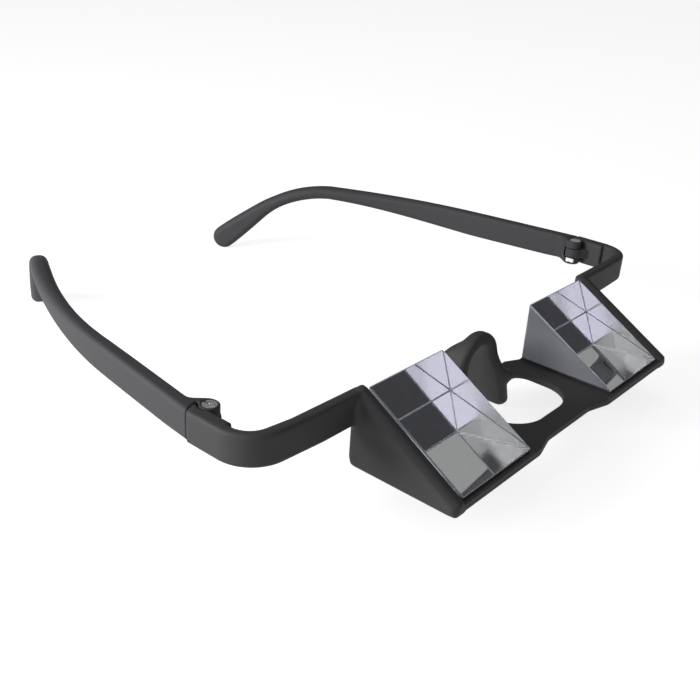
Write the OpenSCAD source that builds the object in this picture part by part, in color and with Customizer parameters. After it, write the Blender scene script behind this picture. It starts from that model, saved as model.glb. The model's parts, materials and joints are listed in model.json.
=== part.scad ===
// Belay glasses: two glass prisms on a moulded frame turn the wearer's line of sight upwards.
// The front faces -Y, the temples run back along +Y, and +Z is up, as the glasses are worn.
// The geometry is written about the worn datum: x = 0 between the eyes, y = 0 on the prisms'
// upright back faces and z = 0 on their undersides. in_place() then stands the glasses on z = 0.

/* [Prisms] */
// Distance between the middles of the two prisms, as the wearer's pupils
pupil_distance = 66; // [62:0.5:72]
// Width of one prism
prism_w = 27; // [24:0.5:30]
// Depth of one prism, from its front edge to its upright back face
prism_d = 27; // [24:0.5:29]
// Angle of the slanted face above the underside
prism_angle = 30; // [28:0.5:32]
// Flat ground on each sharp edge of the prism
edge_flat = 0.35; // [0.2:0.05:0.6]
// Thickness of the silvering and its backing paint under the prism
silver_t = 0.15; // [0.1:0.05:0.3]
// Thickness of the adhesive bed between the backing and the tray
bond_t = 0.35; // [0.2:0.05:0.8]
// How far the adhesive bed stays inside the prism's underside
bond_inset = 1.5; // [0.5:0.5:4]

/* [Tray] */
// Thickness of the tray plate
tray_t = 2.1; // [1.8:0.1:4]
// Thickness of the lip in front of the prisms
lip_t = 0.75; // [0.5:0.05:1.5]
// Height of the lip above the prisms' undersides
lip_h = 0.35; // [0.1:0.05:1]
// Tray left free behind the prisms
tray_back = 0.6; // [0.3:0.1:2]
// Depth of the bar that joins the two trays
bar_d = 5.8; // [4:0.2:8]
// How far the bar's front edge stands back from the trays
bar_setback = 1.9; // [1:0.1:3]
// Width of the notch for the nose
notch_w = 26.5; // [24:0.5:29]

/* [Cheeks] */
// Thickness of the triangular wall at each prism's outer side
cheek_t = 4.2; // [3:0.1:6]
// Height of the wall's rim above the slanted glass
rim_h = 0.9; // [0.4:0.1:2]
// How far the wall runs back past the prism
cheek_back = 1.4; // [1:0.1:2]
// Chamfer round the wall's outer face
cheek_chamfer = 1.2; // [0.5:0.1:2]
// How far the rim's inner edge falls towards the glass
rim_fall = 0.7; // [0.2:0.1:0.8]

/* [Nose saddle] */
// Height of the saddle's crown above the prisms' undersides
crown_z = 12.5; // [12:0.5:16]
// Outer radius of the crown
crown_r = 8; // [7:0.1:9]
// Wall thickness of the saddle
saddle_t = 3.1; // [2:0.1:3.5]
// Slope of the flanks away from upright
flank_angle = 18; // [14:1:20]
// Depth of the flanks below the prisms' undersides
flank_drop = 11.8; // [9:0.1:14]
// Length of the flanks from front to back
flank_len = 14; // [11:0.5:16]

/* [Arms] */
// Half of the width over the outer faces of the arms
half_w = 81.4; // [76:0.2:90]
// Thickness of an arm
arm_t = 3.4; // [2.8:0.1:4.5]
// Thickness of an arm just before the stop block
arm_thin_t = 2.3; // [1.8:0.1:2.6]
// Height of the underside of an arm above the prisms' undersides
arm_z = 9.2; // [8:0.1:9.6]
// Height of an arm
arm_h = 6.3; // [5.8:0.1:7.5]
// Outer radius of the bend where an arm turns back
arm_bend_r = 8.2; // [7:0.2:12]
// How far an arm falls back between the cheek and its bend
arm_rake = 1.4; // [0:0.1:3]

/* [Hinges] */
// Distance of the hinge axis behind the prisms' back faces
hinge_y = 17.2; // [16:0.2:24]
// Distance of the hinge axis inside the arm's outer face
hinge_inset = 5.3; // [4.8:0.1:6.5]
// Outer radius of the knuckles
knuckle_r = 2.5; // [2.4:0.1:3]
// Width of the slit between an arm's end and its temple
slit_w = 0.7; // [0.3:0.1:1.2]
// How much the slit slants back towards the inside
slit_angle = 18; // [0:1:20]
// Height of the knuckle on the frame
frame_knuckle_h = 2.8; // [2:0.1:3.2]
// Height of the temple's upper knuckle
upper_knuckle_h = 2.4; // [2.2:0.1:3]
// Gap above and below the frame's knuckle
knuckle_gap = 0.15; // [0.1:0.05:0.3]
// Radius of the hinge screw's shank
screw_r = 1; // [0.7:0.05:1.1]
// Radius of the hinge screw's head
head_r = 1.65; // [1.4:0.05:1.8]
// Height of the hinge screw's head
head_h = 0.9; // [0.6:0.05:1.2]
// Width of the hinge nut over its flats
nut_w = 4; // [3.4:0.1:4]
// Thickness of the hinge nut
nut_h = 1.2; // [1:0.1:1.6]

/* [Temples] */
// Height of a temple behind its hinge
temple_h = 7.2; // [6.4:0.1:9]
// Thickness of a temple behind its hinge
temple_t = 3.2; // [2.8:0.1:4]
// Thickness of a temple at its tip
tip_t = 5; // [3.5:0.1:6]
// Height of a temple at its neck, above the ear
neck_h = 4; // [3.4:0.1:5]
// Height of the paddle at the end of a temple
paddle_h = 7.6; // [6:0.1:10]
// Length of the straight front part of a temple
straight_len = 40.3; // [30:0.1:50]
// Angle of the straight part, inwards from straight back
straight_angle = 7.8; // [5:0.1:10]
// Plan radius of the curve that brings a temple in to the head
wrap_r = 159; // [140:1:180]
// Angle of the last part of a temple, inwards from straight back
tip_angle = 29; // [25:0.5:32]
// Length along a temple from its end face to the start of the ear bend
ear_len = 90; // [85:0.1:100]
// Radius of the ear bend
ear_r = 43.6; // [38:0.2:50]
// Angle of the paddle below level
ear_drop_angle = 40; // [36:1:45]
// Rounding of a temple's long edges
temple_round = 1.1; // [0.6:0.1:1.4]

/* [Hidden] */
$fn = 48;

// The wearer's right side is -X
RIGHT = -1;
LEFT = 1;

// Small clearances between pieces
glass_gap = 0.15;
screw_clear = 0.05;
turn_gap = 0.35;
nut_clear = 0.1;
// Overlap that joins two shapes of one moulding
join = 0.4;

// Colours
black = [0.10, 0.10, 0.105];
glass = [0.80, 0.82, 0.90, 0.5];
silver = [0.82, 0.84, 0.87];
steel = [0.74, 0.75, 0.77];
putty = [0.30, 0.30, 0.29];

// Prisms and tray
prism_x = pupil_distance / 2 - prism_w / 2;
prism_out = pupil_distance / 2 + prism_w / 2;
prism_h = prism_d * tan(prism_angle);
tray_top = -silver_t - bond_t;
tray_z = tray_top - tray_t;
tray_front = -prism_d - glass_gap - lip_t;
bar_front = tray_front + bar_setback;
bar_back = bar_front + bar_d;
cheek_x = prism_out + glass_gap;
cheek_out = cheek_x + cheek_t;
tray_corner_r = 2;
bar_blend_r = 6;
// The tray's S-bend from the bar to the trays, beside the notch
bar_half = 10;
bar_slope = 7;
// Notch corners, and the tabs that carry the saddle's flanks
notch_r = 6;
notch_back = -4.5;
tab_r = 1.6;
tab_back = 2.6;
tab_back_x = 2.2;

// Cheek
rim_rise = rim_h / cos(prism_angle);
cheek_top_r = 1.5;
cheek_foot_r = 2.5;
cheek_nose_r = 0.8;

// Saddle: the arc of the crown ends where the straight flanks leave it
crown_c = crown_z - crown_r;
flank_z = -flank_drop;
flank_top_z = crown_c + crown_r * sin(flank_angle);
function flank_x(z) = crown_r * cos(flank_angle) + (flank_top_z - z) * tan(flank_angle);
arch_steps = 16;
// Side view of the saddle, as y and z: crown, waist, wing and foot with their roundings
saddle_front = 0.6;
saddle_lean = 2.4;
crown_len = 2.8;
crown_back_r = 2;
waist = [6.2, 6.8];
waist_r = 9;
wing_z = -4;
wing_r = 6;
foot_back = 7.2;
foot_back_r = 5;
foot_front_r = 3;

// Arm and hinge
hinge_x = half_w - hinge_inset;
arm_top = arm_z + arm_h;
arm_front = -1.6;
bend_steps = 12;
block_len = 9;
block_in = half_w - arm_t;
block_step = hinge_y - block_len;
arm_inner_y = arm_front + arm_t + arm_rake / 2;
arm_inner_r = block_step - arm_inner_y - glass_gap;
frame_web_len = 4.6;
frame_knuckle_drop = 0.4;
frame_knuckle_z = arm_z + (arm_h - frame_knuckle_h) / 2 - frame_knuckle_drop;
frame_knuckle_top = frame_knuckle_z + frame_knuckle_h;
frame_knuckle_r = knuckle_r - 0.1;
upper_z = frame_knuckle_top + knuckle_gap;
upper_top = upper_z + upper_knuckle_h;
lower_top = frame_knuckle_z - knuckle_gap;
nut_z = lower_top - nut_h - nut_clear;
nut_floor = 0.6;
lower_z = nut_z - nut_floor;
lower_dome = 0.8;
head_sink = 0.1;
head_z = upper_top - head_h - head_sink;
slit_y = hinge_y + 0.6;

// Temple: the outer face follows a straight, an arc and a straight in plan
temple_y = hinge_y;
temple_top = arm_top + 0.5;
end_drop = 0.3;
end_h = arm_h + 0.3;
end_blend = 12;
wrap_len = wrap_r * (tip_angle - straight_angle) * PI / 180;
taper_start = 35;
taper_end = 98;
paddle_start = ear_len + 19;
thick_start = 45;
thick_end = 92;
ear_z = temple_top - neck_h / 2;
bend_run = ear_r * sin(ear_drop_angle);
bend_fall = ear_r * (1 - cos(ear_drop_angle));
tip_z = flank_z + paddle_h / 2;
tip_run = (ear_z - bend_fall - tip_z) / tan(ear_drop_angle);
tip_s = ear_len + bend_run + tip_run;
// The boss runs along the temple's inner face and necks in behind the knuckle
boss_len = 8;
boss_angle = 35;
boss_neck = [0.3, 4];
boss_neck_r = 2.5;
body_rings = 30;
ear_rings = 14;
end_rings = 6;
end_sweep = 84;
corner_steps = 3;

// Smooth step from 0 at a to 1 at b
function smooth(s, a, b) = let (t = min(1, max(0, (s - a) / (b - a)))) t * t * (3 - 2 * t);

// Closed outline whose corners [x, y, r] are rounded by arcs
function unit(v) = v / norm(v);
function corner(p, q, r, n) =
    let (u = unit([p[0] - q[0], p[1] - q[1]]), w = unit([r[0] - q[0], r[1] - q[1]]),
         half = acos(max(-1, min(1, u * w))) / 2,
         c = [q[0], q[1]] + unit(u + w) * q[2] / sin(half),
         a = [q[0], q[1]] + u * q[2] / tan(half) - c,
         b = [q[0], q[1]] + w * q[2] / tan(half) - c,
         start = atan2(a[1], a[0]),
         turn = ((atan2(b[1], b[0]) - start + 540) % 360) - 180)
    [for (i = [0:n]) c + q[2] * [cos(start + turn * i / n), sin(start + turn * i / n)]];
function rounded(pts, n = 6) =
    let (m = len(pts))
    [for (i = [0:m - 1])
        each pts[i][2] > 0 ? corner(pts[(i + m - 1) % m], pts[i], pts[(i + 1) % m], n)
                           : [[pts[i][0], pts[i][1]]]];

// Place of an arm's end face at x, and of the temple's end face with gap = slit_w
function slit(x, gap = 0) = [x, slit_y + (half_w - x) * tan(slit_angle) + gap / cos(slit_angle)];

// Plan of the temple's outer face at the length s along it
function wrap_angle(s) =
    straight_angle + (tip_angle - straight_angle) * min(1, max(0, (s - straight_len) / wrap_len));
function wrap_point(s) =
    let (a = wrap_angle(s),
         p = [half_w, temple_y] + min(s, straight_len) * [-sin(straight_angle), cos(straight_angle)],
         q = s <= straight_len ? p
             : p + wrap_r * [cos(a) - cos(straight_angle), sin(a) - sin(straight_angle)])
    s <= straight_len + wrap_len ? q
        : q + (s - straight_len - wrap_len) * [-sin(tip_angle), cos(tip_angle)];

// Height and thickness of the temple, and the height of its middle line, at s
function temple_height(s) =
    let (front = end_h + (temple_h - end_h) * smooth(s, 0, end_blend))
    front + (neck_h - front) * smooth(s, taper_start, taper_end)
          + (paddle_h - neck_h) * smooth(s, paddle_start, tip_s);
function temple_thick(s) = temple_t + (tip_t - temple_t) * smooth(s, thick_start, thick_end);
function drop_angle(s) =
    s <= ear_len ? 0 : s >= ear_len + bend_run ? ear_drop_angle : asin((s - ear_len) / ear_r);
function middle_z(s) =
    s <= ear_len ? temple_top - end_drop * (1 - smooth(s, 0, end_blend)) - temple_height(s) / 2
        : s <= ear_len + bend_run ? ear_z - ear_r * (1 - cos(drop_angle(s)))
        : ear_z - bend_fall - (s - ear_len - bend_run) * tan(ear_drop_angle);

// One ring of the temple: a rounded rectangle square to its path, with half height a
function section(t, a, r) =
    let (k = min(r, a))
    [for (q = [[0, 1, 1], [90, 0, 1], [180, 0, 0], [270, 1, 0]], i = [0:corner_steps])
        let (w = q[0] + 90 * i / corner_steps)
        [-t + k + q[1] * (t - 2 * k) + k * cos(w), -a + k + q[2] * (2 * a - 2 * k) + k * sin(w)]];
function ring(s, run, a) =
    let (h = wrap_angle(s), d = drop_angle(s), p = wrap_point(s),
         along = [-sin(h), cos(h)], out = [cos(h), sin(h)])
    [for (q = section(temple_thick(s), a, temple_round))
        let (level = run * cos(d) + q[1] * sin(d), z = middle_z(s) - run * sin(d) + q[1] * cos(d),
             flat = p + along * level + out * q[0])
        [flat[0], flat[1], z]];
temple_rings = concat(
    [for (i = [0:body_rings - 1]) let (s = ear_len * i / body_rings) ring(s, 0, temple_height(s) / 2)],
    [for (i = [0:ear_rings]) let (s = ear_len + (tip_s - ear_len) * i / ear_rings)
        ring(s, 0, temple_height(s) / 2)],
    [for (i = [1:end_rings]) let (w = end_sweep * i / end_rings)
        ring(tip_s, paddle_h / 2 * sin(w), paddle_h / 2 * cos(w))]);
temple_points = [for (r = temple_rings) each r];

// The standing height and the middle of the length
stand_z = min(flank_z, min([for (p = temple_points) p[2]]));
back_y = max([for (p = temple_points) p[1]]);
centre_y = (tray_front + back_y) / 2;

module in_place() translate([0, -centre_y, -stand_z]) children();
module side(s) mirror([s < 0 ? 1 : 0, 0, 0]) children();

// Extrude a [y, z] outline along X, from x0 over the length l
module along_x(pts, x0, l) translate([x0, 0, 0]) rotate([90, 0, 90]) linear_extrude(l) polygon(pts);

// Closed solid through rings of equally many points, which run anticlockwise seen from the first ring
module loft(rings) {
    n = len(rings[0]);
    m = len(rings);
    sides = [for (i = [0:m - 2], j = [0:n - 1]) let (k = (j + 1) % n)
        each [[i * n + j, i * n + k, (i + 1) * n + k], [i * n + j, (i + 1) * n + k, (i + 1) * n + j]]];
    first = [for (j = [1:n - 2]) [0, j + 1, j]];
    last = [for (j = [1:n - 2]) [(m - 1) * n, (m - 1) * n + j, (m - 1) * n + j + 1]];
    polyhedron(points = [for (r = rings) each r], faces = concat(sides, first, last));
}

// Glass wedge with its sharp edges ground flat
module prism(s) {
    f = edge_flat;
    color(glass)
        in_place() side(s)
            along_x([[0, 0], [-prism_d + f / tan(prism_angle), 0],
                     [-prism_d + f / tan(prism_angle), f], [-f, prism_h - f * tan(prism_angle)],
                     [0, prism_h - f * tan(prism_angle)]], prism_x, prism_w);
}

// Silvering and backing paint, on the whole underside of the prism
module mirror_backing(s) {
    back = edge_flat / tan(prism_angle);
    color(silver)
        in_place() side(s)
            translate([prism_x, -prism_d + back, -silver_t]) cube([prism_w, prism_d - back, silver_t]);
}

// Adhesive bed between the backing and the tray
module prism_bond(s) {
    color(putty)
        in_place() side(s)
            translate([prism_x + bond_inset, -prism_d + bond_inset, tray_top])
                cube([prism_w - 2 * bond_inset, prism_d - 2 * bond_inset, bond_t]);
}

// Half of the tray plate, with its share of the bar and the tab under one flank
module tray_plate() {
    tab_x = flank_x(tray_top) - saddle_t / 2;
    translate([0, 0, tray_z]) linear_extrude(tray_t)
        polygon(rounded([
            [0, bar_front, 0], [bar_half, bar_front, bar_blend_r],
            [bar_half + bar_slope, tray_front, bar_blend_r],
            [cheek_out, tray_front, tray_corner_r], [cheek_out, cheek_back, tray_corner_r],
            [cheek_x, cheek_back, 0], [cheek_x, tray_back, 0], [prism_x, tray_back, tab_back],
            [notch_w / 2 + tab_back_x, tab_back, 0], [tab_x, tab_back, 0],
            [tab_x, notch_back, 0], [notch_w / 2, notch_back, tab_r],
            [notch_w / 2, bar_back, notch_r], [0, bar_back, 0]]));
}

// Lip in front of a prism
module lip() {
    start = bar_half + bar_slope;
    translate([start, tray_front, tray_top - join])
        cube([cheek_x + join - start, lip_t, lip_h - tray_top + join]);
}

// Triangular outer wall with a chamfered outer face
function cheek_outline(inset) =
    let (front_z = rim_rise - (glass_gap + lip_t) * tan(prism_angle),
         top_z = prism_h + rim_rise + cheek_back * tan(prism_angle),
         lower = inset * (1 / cos(prism_angle) - tan(prism_angle)))
    rounded([
        [cheek_back - inset, tray_z + inset, cheek_foot_r],
        [cheek_back - inset, top_z - inset / cos(prism_angle) - inset * tan(prism_angle), cheek_top_r],
        [tray_front + inset, front_z - lower, cheek_nose_r],
        [tray_front + inset, tray_z + inset / 2, cheek_nose_r]]);
module cheek() {
    planes = [[cheek_out, cheek_chamfer / 2], [cheek_out - cheek_chamfer, 0],
              [cheek_x + rim_fall, 0], [cheek_x, rim_fall]];
    loft([for (q = planes) [for (p = cheek_outline(q[1])) [q[0], p[0], p[1]]]]);
}

// Saddle that bears on the nose: an arch seen from the front, a wing seen from the side
function arch(r, foot) =
    let (a = flank_angle, x = r * cos(a), z = crown_c + r * sin(a), run = (z - foot) * tan(a))
    concat([[-x - run, foot]],
           [for (i = [0:arch_steps]) let (w = 180 - a - (180 - 2 * a) * i / arch_steps)
               [r * cos(w), crown_c + r * sin(w)]],
           [[x + run, foot]]);
module saddle() {
    wide = 2 * flank_x(flank_z);
    front = saddle_front - saddle_lean;
    back = front + flank_len;
    above = crown_z + join;
    intersection() {
        translate([0, back + join, 0]) rotate([90, 0, 0])
            linear_extrude(flank_len + 2 * join) difference() {
                polygon(arch(crown_r, flank_z));
                polygon(arch(crown_r - saddle_t, flank_z - join));
            }
        along_x(rounded([
            [saddle_front, above, 0], [saddle_front, crown_c, crown_r], [front, 0, crown_r],
            [front, flank_z, foot_front_r], [foot_back, flank_z, foot_back_r], [back, wing_z, wing_r],
            concat(waist, waist_r), [saddle_front + crown_len, crown_z - saddle_t, crown_back_r],
            [saddle_front + crown_len, above, 0]]), -wide, 2 * wide);
    }
}

// Arm from the cheek out to the hinge, with the stop block at its end
module arm() {
    thin_in = half_w - arm_thin_t;
    step = arm_t - arm_thin_t;
    difference() {
        translate([0, 0, arm_z]) linear_extrude(arm_h)
            polygon(rounded([
                [cheek_x + join, arm_front, 0], [half_w, arm_front + arm_rake, arm_bend_r],
                concat(slit(half_w), 0), concat(slit(block_in), 0), [block_in, block_step + step, 0],
                [thin_in, block_step, 0], [thin_in, arm_inner_y, arm_inner_r],
                [cheek_x + join, arm_front + arm_t, 0]], bend_steps));
        for (z = [[lower_z - join, lower_top + knuckle_gap], [upper_z - knuckle_gap, upper_top + join]])
            translate([hinge_x, hinge_y, z[0]]) cylinder(r = knuckle_r + turn_gap, h = z[1] - z[0]);
    }
}

// Knuckle on the end of an arm, without its bore
module frame_knuckle() {
    translate([0, 0, frame_knuckle_z]) linear_extrude(frame_knuckle_h) hull() {
        translate([hinge_x, hinge_y]) circle(r = frame_knuckle_r);
        translate([block_in, hinge_y - frame_web_len]) square([arm_t / 2, frame_web_len - join]);
    }
}

// One moulding: trays, bar, cheeks, saddle, arms and frame knuckles
module front_frame() {
    color(black)
        in_place() difference() {
            union() {
                for (s = [RIGHT, LEFT]) side(s) {
                    tray_plate();
                    lip();
                    cheek();
                    arm();
                    frame_knuckle();
                }
                saddle();
            }
            for (s = [RIGHT, LEFT]) side(s)
                translate([hinge_x, hinge_y, lower_z - join])
                    cylinder(r = screw_r + screw_clear, h = upper_top - lower_z + 2 * join);
        }
}

// Long body of a temple, swept along its path
module temple_body() loft(temple_rings);

// Boss on a temple's inner face, which carries both of its knuckles
module temple_boss() {
    inward = [cos(straight_angle), sin(straight_angle)];
    body_z = temple_top - end_drop - end_h;
    translate([0, 0, body_z]) linear_extrude(upper_top - body_z)
        polygon(rounded([
            [hinge_x, hinge_y, 0],
            [hinge_x - knuckle_r * cos(boss_angle), hinge_y + knuckle_r * sin(boss_angle), 0],
            [hinge_x + boss_neck[0], hinge_y + boss_neck[1], boss_neck_r],
            concat(wrap_point(boss_len) - (temple_t - join) * inward, 0),
            concat(wrap_point(boss_len / 2) - temple_t / 2 * inward, 0),
            [hinge_x + knuckle_r / 2, hinge_y, 0]]));
}

// Hexagonal bar, with the distance from its middle to its flats
module hexagon(flat, h) rotate([0, 0, 30]) cylinder(r = flat / cos(30), h = h, $fn = 6);

// Space that the frame's arm takes beside the temple, up to the slit
module arm_space() {
    x = block_in - turn_gap;
    far = half_w + join;
    translate([0, 0, lower_z - join]) linear_extrude(temple_top - lower_z + 2 * join)
        polygon([[x, 0], [far, 0], slit(far, slit_w), slit(x, slit_w)]);
}

// Temple's lower knuckle, domed below
module lower_knuckle() {
    rotate_extrude()
        polygon([[0, lower_z], [knuckle_r - 1.5 * lower_dome, lower_z],
                 [knuckle_r - lower_dome / 2, lower_z + lower_dome / 3], [knuckle_r, lower_z + lower_dome],
                 [knuckle_r, lower_top], [0, lower_top]]);
}

// Temple with its two knuckles, the screw's seat and the open pocket for the nut
module temple(s) {
    pocket_r = nut_w / 2 + nut_clear;
    color(black)
        in_place() side(s) difference() {
            union() {
                difference() {
                    union() {
                        temple_body();
                        temple_boss();
                    }
                    arm_space();
                }
                translate([hinge_x, hinge_y, 0]) lower_knuckle();
                translate([hinge_x, hinge_y, upper_z]) cylinder(r = knuckle_r, h = upper_top - upper_z);
            }
            translate([hinge_x, hinge_y, 0]) {
                translate([0, 0, lower_top]) cylinder(r = frame_knuckle_r + turn_gap, h = upper_z - lower_top);
                translate([0, 0, lower_z - join])
                    cylinder(r = screw_r + screw_clear, h = upper_top - lower_z + 2 * join);
                translate([0, 0, head_z]) cylinder(r = head_r + nut_clear, h = head_h + join);
                translate([0, 0, nut_z]) hexagon(pocket_r, lower_top - nut_z + join);
                translate([-2 * knuckle_r, -pocket_r, nut_z])
                    cube([2 * knuckle_r, 2 * pocket_r, lower_top - nut_z + join]);
            }
        }
}

// Screw that the temple turns on, with a slot in its head
module hinge_screw(s) {
    slot_w = head_r / 4;
    color(steel)
        in_place() side(s) translate([hinge_x, hinge_y, 0]) difference() {
            union() {
                translate([0, 0, lower_z + nut_floor / 2])
                    cylinder(r = screw_r, h = head_z - lower_z - nut_floor / 2);
                translate([0, 0, head_z]) cylinder(r = head_r, h = head_h);
            }
            translate([-slot_w / 2, -2 * head_r, head_z + head_h / 2]) cube([slot_w, 4 * head_r, head_h]);
        }
}

// Hexagon nut in the pocket of the temple's lower knuckle
module hinge_nut(s) {
    color(steel)
        in_place() side(s) translate([hinge_x, hinge_y, nut_z]) difference() {
            hexagon(nut_w / 2, nut_h);
            translate([0, 0, -join]) cylinder(r = screw_r + screw_clear / 2, h = nut_h + 2 * join);
        }
}

module right_prism() prism(RIGHT);
module left_prism() prism(LEFT);
module right_mirror_backing() mirror_backing(RIGHT);
module left_mirror_backing() mirror_backing(LEFT);
module right_prism_bond() prism_bond(RIGHT);
module left_prism_bond() prism_bond(LEFT);
module right_temple() temple(RIGHT);
module left_temple() temple(LEFT);
module right_hinge_screw() hinge_screw(RIGHT);
module left_hinge_screw() hinge_screw(LEFT);
module right_hinge_nut() hinge_nut(RIGHT);
module left_hinge_nut() hinge_nut(LEFT);

front_frame();
right_prism();
left_prism();
right_mirror_backing();
left_mirror_backing();
right_prism_bond();
left_prism_bond();
right_temple();
left_temple();
right_hinge_screw();
left_hinge_screw();
right_hinge_nut();
left_hinge_nut();
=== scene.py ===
"""Belay glasses: two glass prisms on a black moulded frame with folding temples.

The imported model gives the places. The front moulding and the temples are fields of distance to
rounded outlines, meshed as whole arrays. The prisms are a profile carried along a line. The screws,
nuts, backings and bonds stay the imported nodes, and only get their finishes here.
"""
import json
import math
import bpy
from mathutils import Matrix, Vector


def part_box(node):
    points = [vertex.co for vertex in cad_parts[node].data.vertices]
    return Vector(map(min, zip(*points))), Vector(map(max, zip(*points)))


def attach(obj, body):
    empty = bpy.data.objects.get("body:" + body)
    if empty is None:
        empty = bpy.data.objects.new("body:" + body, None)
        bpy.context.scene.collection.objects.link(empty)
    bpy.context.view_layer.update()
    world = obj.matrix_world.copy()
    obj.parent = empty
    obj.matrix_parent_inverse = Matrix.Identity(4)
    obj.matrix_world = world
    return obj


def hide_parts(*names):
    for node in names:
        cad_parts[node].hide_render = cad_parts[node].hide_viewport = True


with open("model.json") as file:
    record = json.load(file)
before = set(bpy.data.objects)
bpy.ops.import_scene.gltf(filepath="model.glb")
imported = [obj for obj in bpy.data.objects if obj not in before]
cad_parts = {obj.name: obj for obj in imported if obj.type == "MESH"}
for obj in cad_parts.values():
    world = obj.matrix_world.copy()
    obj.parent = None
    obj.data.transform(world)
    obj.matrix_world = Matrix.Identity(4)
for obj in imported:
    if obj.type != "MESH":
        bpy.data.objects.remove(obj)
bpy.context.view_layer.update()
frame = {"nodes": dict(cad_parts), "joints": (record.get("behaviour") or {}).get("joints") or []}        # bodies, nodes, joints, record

from types import SimpleNamespace

import bpy
import numpy as np
from bpy.props import FloatProperty, FloatVectorProperty, PointerProperty
from mathutils import Matrix, Vector

bl_info = {
    "name": "Belay glasses",
    "version": (1, 0, 0),
    "blender": (4, 5, 0),
    "location": "View3D > Sidebar > Belay glasses",
    "description": "Dresses the packed frame of a pair of belay glasses",
    "category": "Object",
}

MM = 0.001
GLASS_IOR = 1.517
# Gap between a prism and its cheek
GLASS_GAP = 0.3 * MM
# How much smaller the frame's knuckle is than the temple's lower one
KNUCKLE_LESS = 0.1 * MM

# The worn datum: x = 0 between the eyes, y = 0 on the prisms' upright backs, z = 0 on their undersides
PRISM_LOW, PRISM_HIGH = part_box("left_prism")
FRONT_LOW, FRONT_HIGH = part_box("front_frame")
DATUM = Vector((0, PRISM_HIGH.y, PRISM_LOW.z))
BOND_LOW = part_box("left_prism_bond")[0]
SCREW_LOW, SCREW_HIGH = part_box("left_hinge_screw")
NUT_LOW, NUT_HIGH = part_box("left_hinge_nut")
HINGE = Vector(next(j["pos_m"] for j in frame["joints"] if j["name"] == "left_temple_fold")) - DATUM

# The cloths hung round the set, which glow at their tone as painted light for gloss and glass: name,
# material, tone, radius, turns and rises in degrees, seen by glass
CLOTHS = [
    ("front_flag", "dark_cloth", (0.05, 0.05, 0.055), 1.6, (5, 105), (4, 75), True),
    ("rear_flag", "grey_cloth", (0.34, 0.34, 0.34), 1.7, (105, 250), (0, 20), True),
    ("side_flag", "pale_cloth", (0.76, 0.75, 0.90), 1.6, (-100, -15), (4, 60), True),
    ("high_flag", "high_cloth", (0.16, 0.16, 0.16), 1.8, (60, 260), (20, 75), False),
]


def length(name, description, default):
    """A property that holds a length, in metres."""
    return FloatProperty(name=name, description=description, default=default,
                         unit="LENGTH", subtype="DISTANCE", precision=5)


def place(name, description, default):
    """A property that holds a point, in metres."""
    return FloatVectorProperty(name=name, description=description, default=default, size=3,
                               unit="LENGTH", subtype="TRANSLATION", precision=5)


def angle(name, description, degrees):
    """A property that holds an angle."""
    return FloatProperty(name=name, description=description, default=math.radians(degrees),
                         unit="ROTATION", subtype="ANGLE")


def power(name, description, watts):
    """A property that holds a lamp's power, in watts."""
    return FloatProperty(name=name, description=description, default=watts, min=0,
                         unit="POWER", subtype="POWER")


def colour(name, description, value):
    """A property that holds a linear colour."""
    return FloatVectorProperty(name=name, description=description, default=value, size=3,
                               min=0, max=1, subtype="COLOR")


def factor(name, description, value):
    """A property that holds a share from 0 to 1."""
    return FloatProperty(name=name, description=description, default=value, min=0, max=1,
                         subtype="FACTOR")


class GlassSettings(bpy.types.PropertyGroup):
    """The two prisms."""
    wedge: angle("Wedge angle", "Angle of the slanted face above the underside", 30.2)
    depth: length("Depth", "Depth of the underside up to its sharp front edge", 27 * MM)
    flat: length("Ground flat", "Depth of the flat ground on the top edge", 0.4 * MM)
    chamfer: length("Chamfer", "Chamfer ground on the other edges", 0.3 * MM)
    lift: length("Silver lift", "Gap that keeps the glass off the paint under it", 0.02 * MM)
    tint: colour("Glass tint", "Colour of the polished glass", (0.97, 0.985, 0.975))
    ground_tint: colour("Ground tint", "Colour of the ground side faces", (0.80, 0.82, 0.88))
    edge_tint: colour("Edge tint", "Colour of the ground edges", (0.50, 0.52, 0.58))
    silver: colour("Silvering", "Colour of the silver seen through the glass", (0.92, 0.92, 0.93))
    side_blur: factor("Side blur", "Roughness of a side face's inner mirroring, at its back", 0.08)
    side_coarse: factor("Side coarseness", "Roughness of that mirroring, at the front", 0.32)
    side_clear: factor("Side clearness", "Share of the light that passes a side face", 0.93)
    edge_coarse: factor("Edge coarseness", "Roughness of a ground edge's inner mirroring", 0.3)
    edge_clear: factor("Edge clearness", "Share of the light that passes a ground edge", 0.35)


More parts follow.
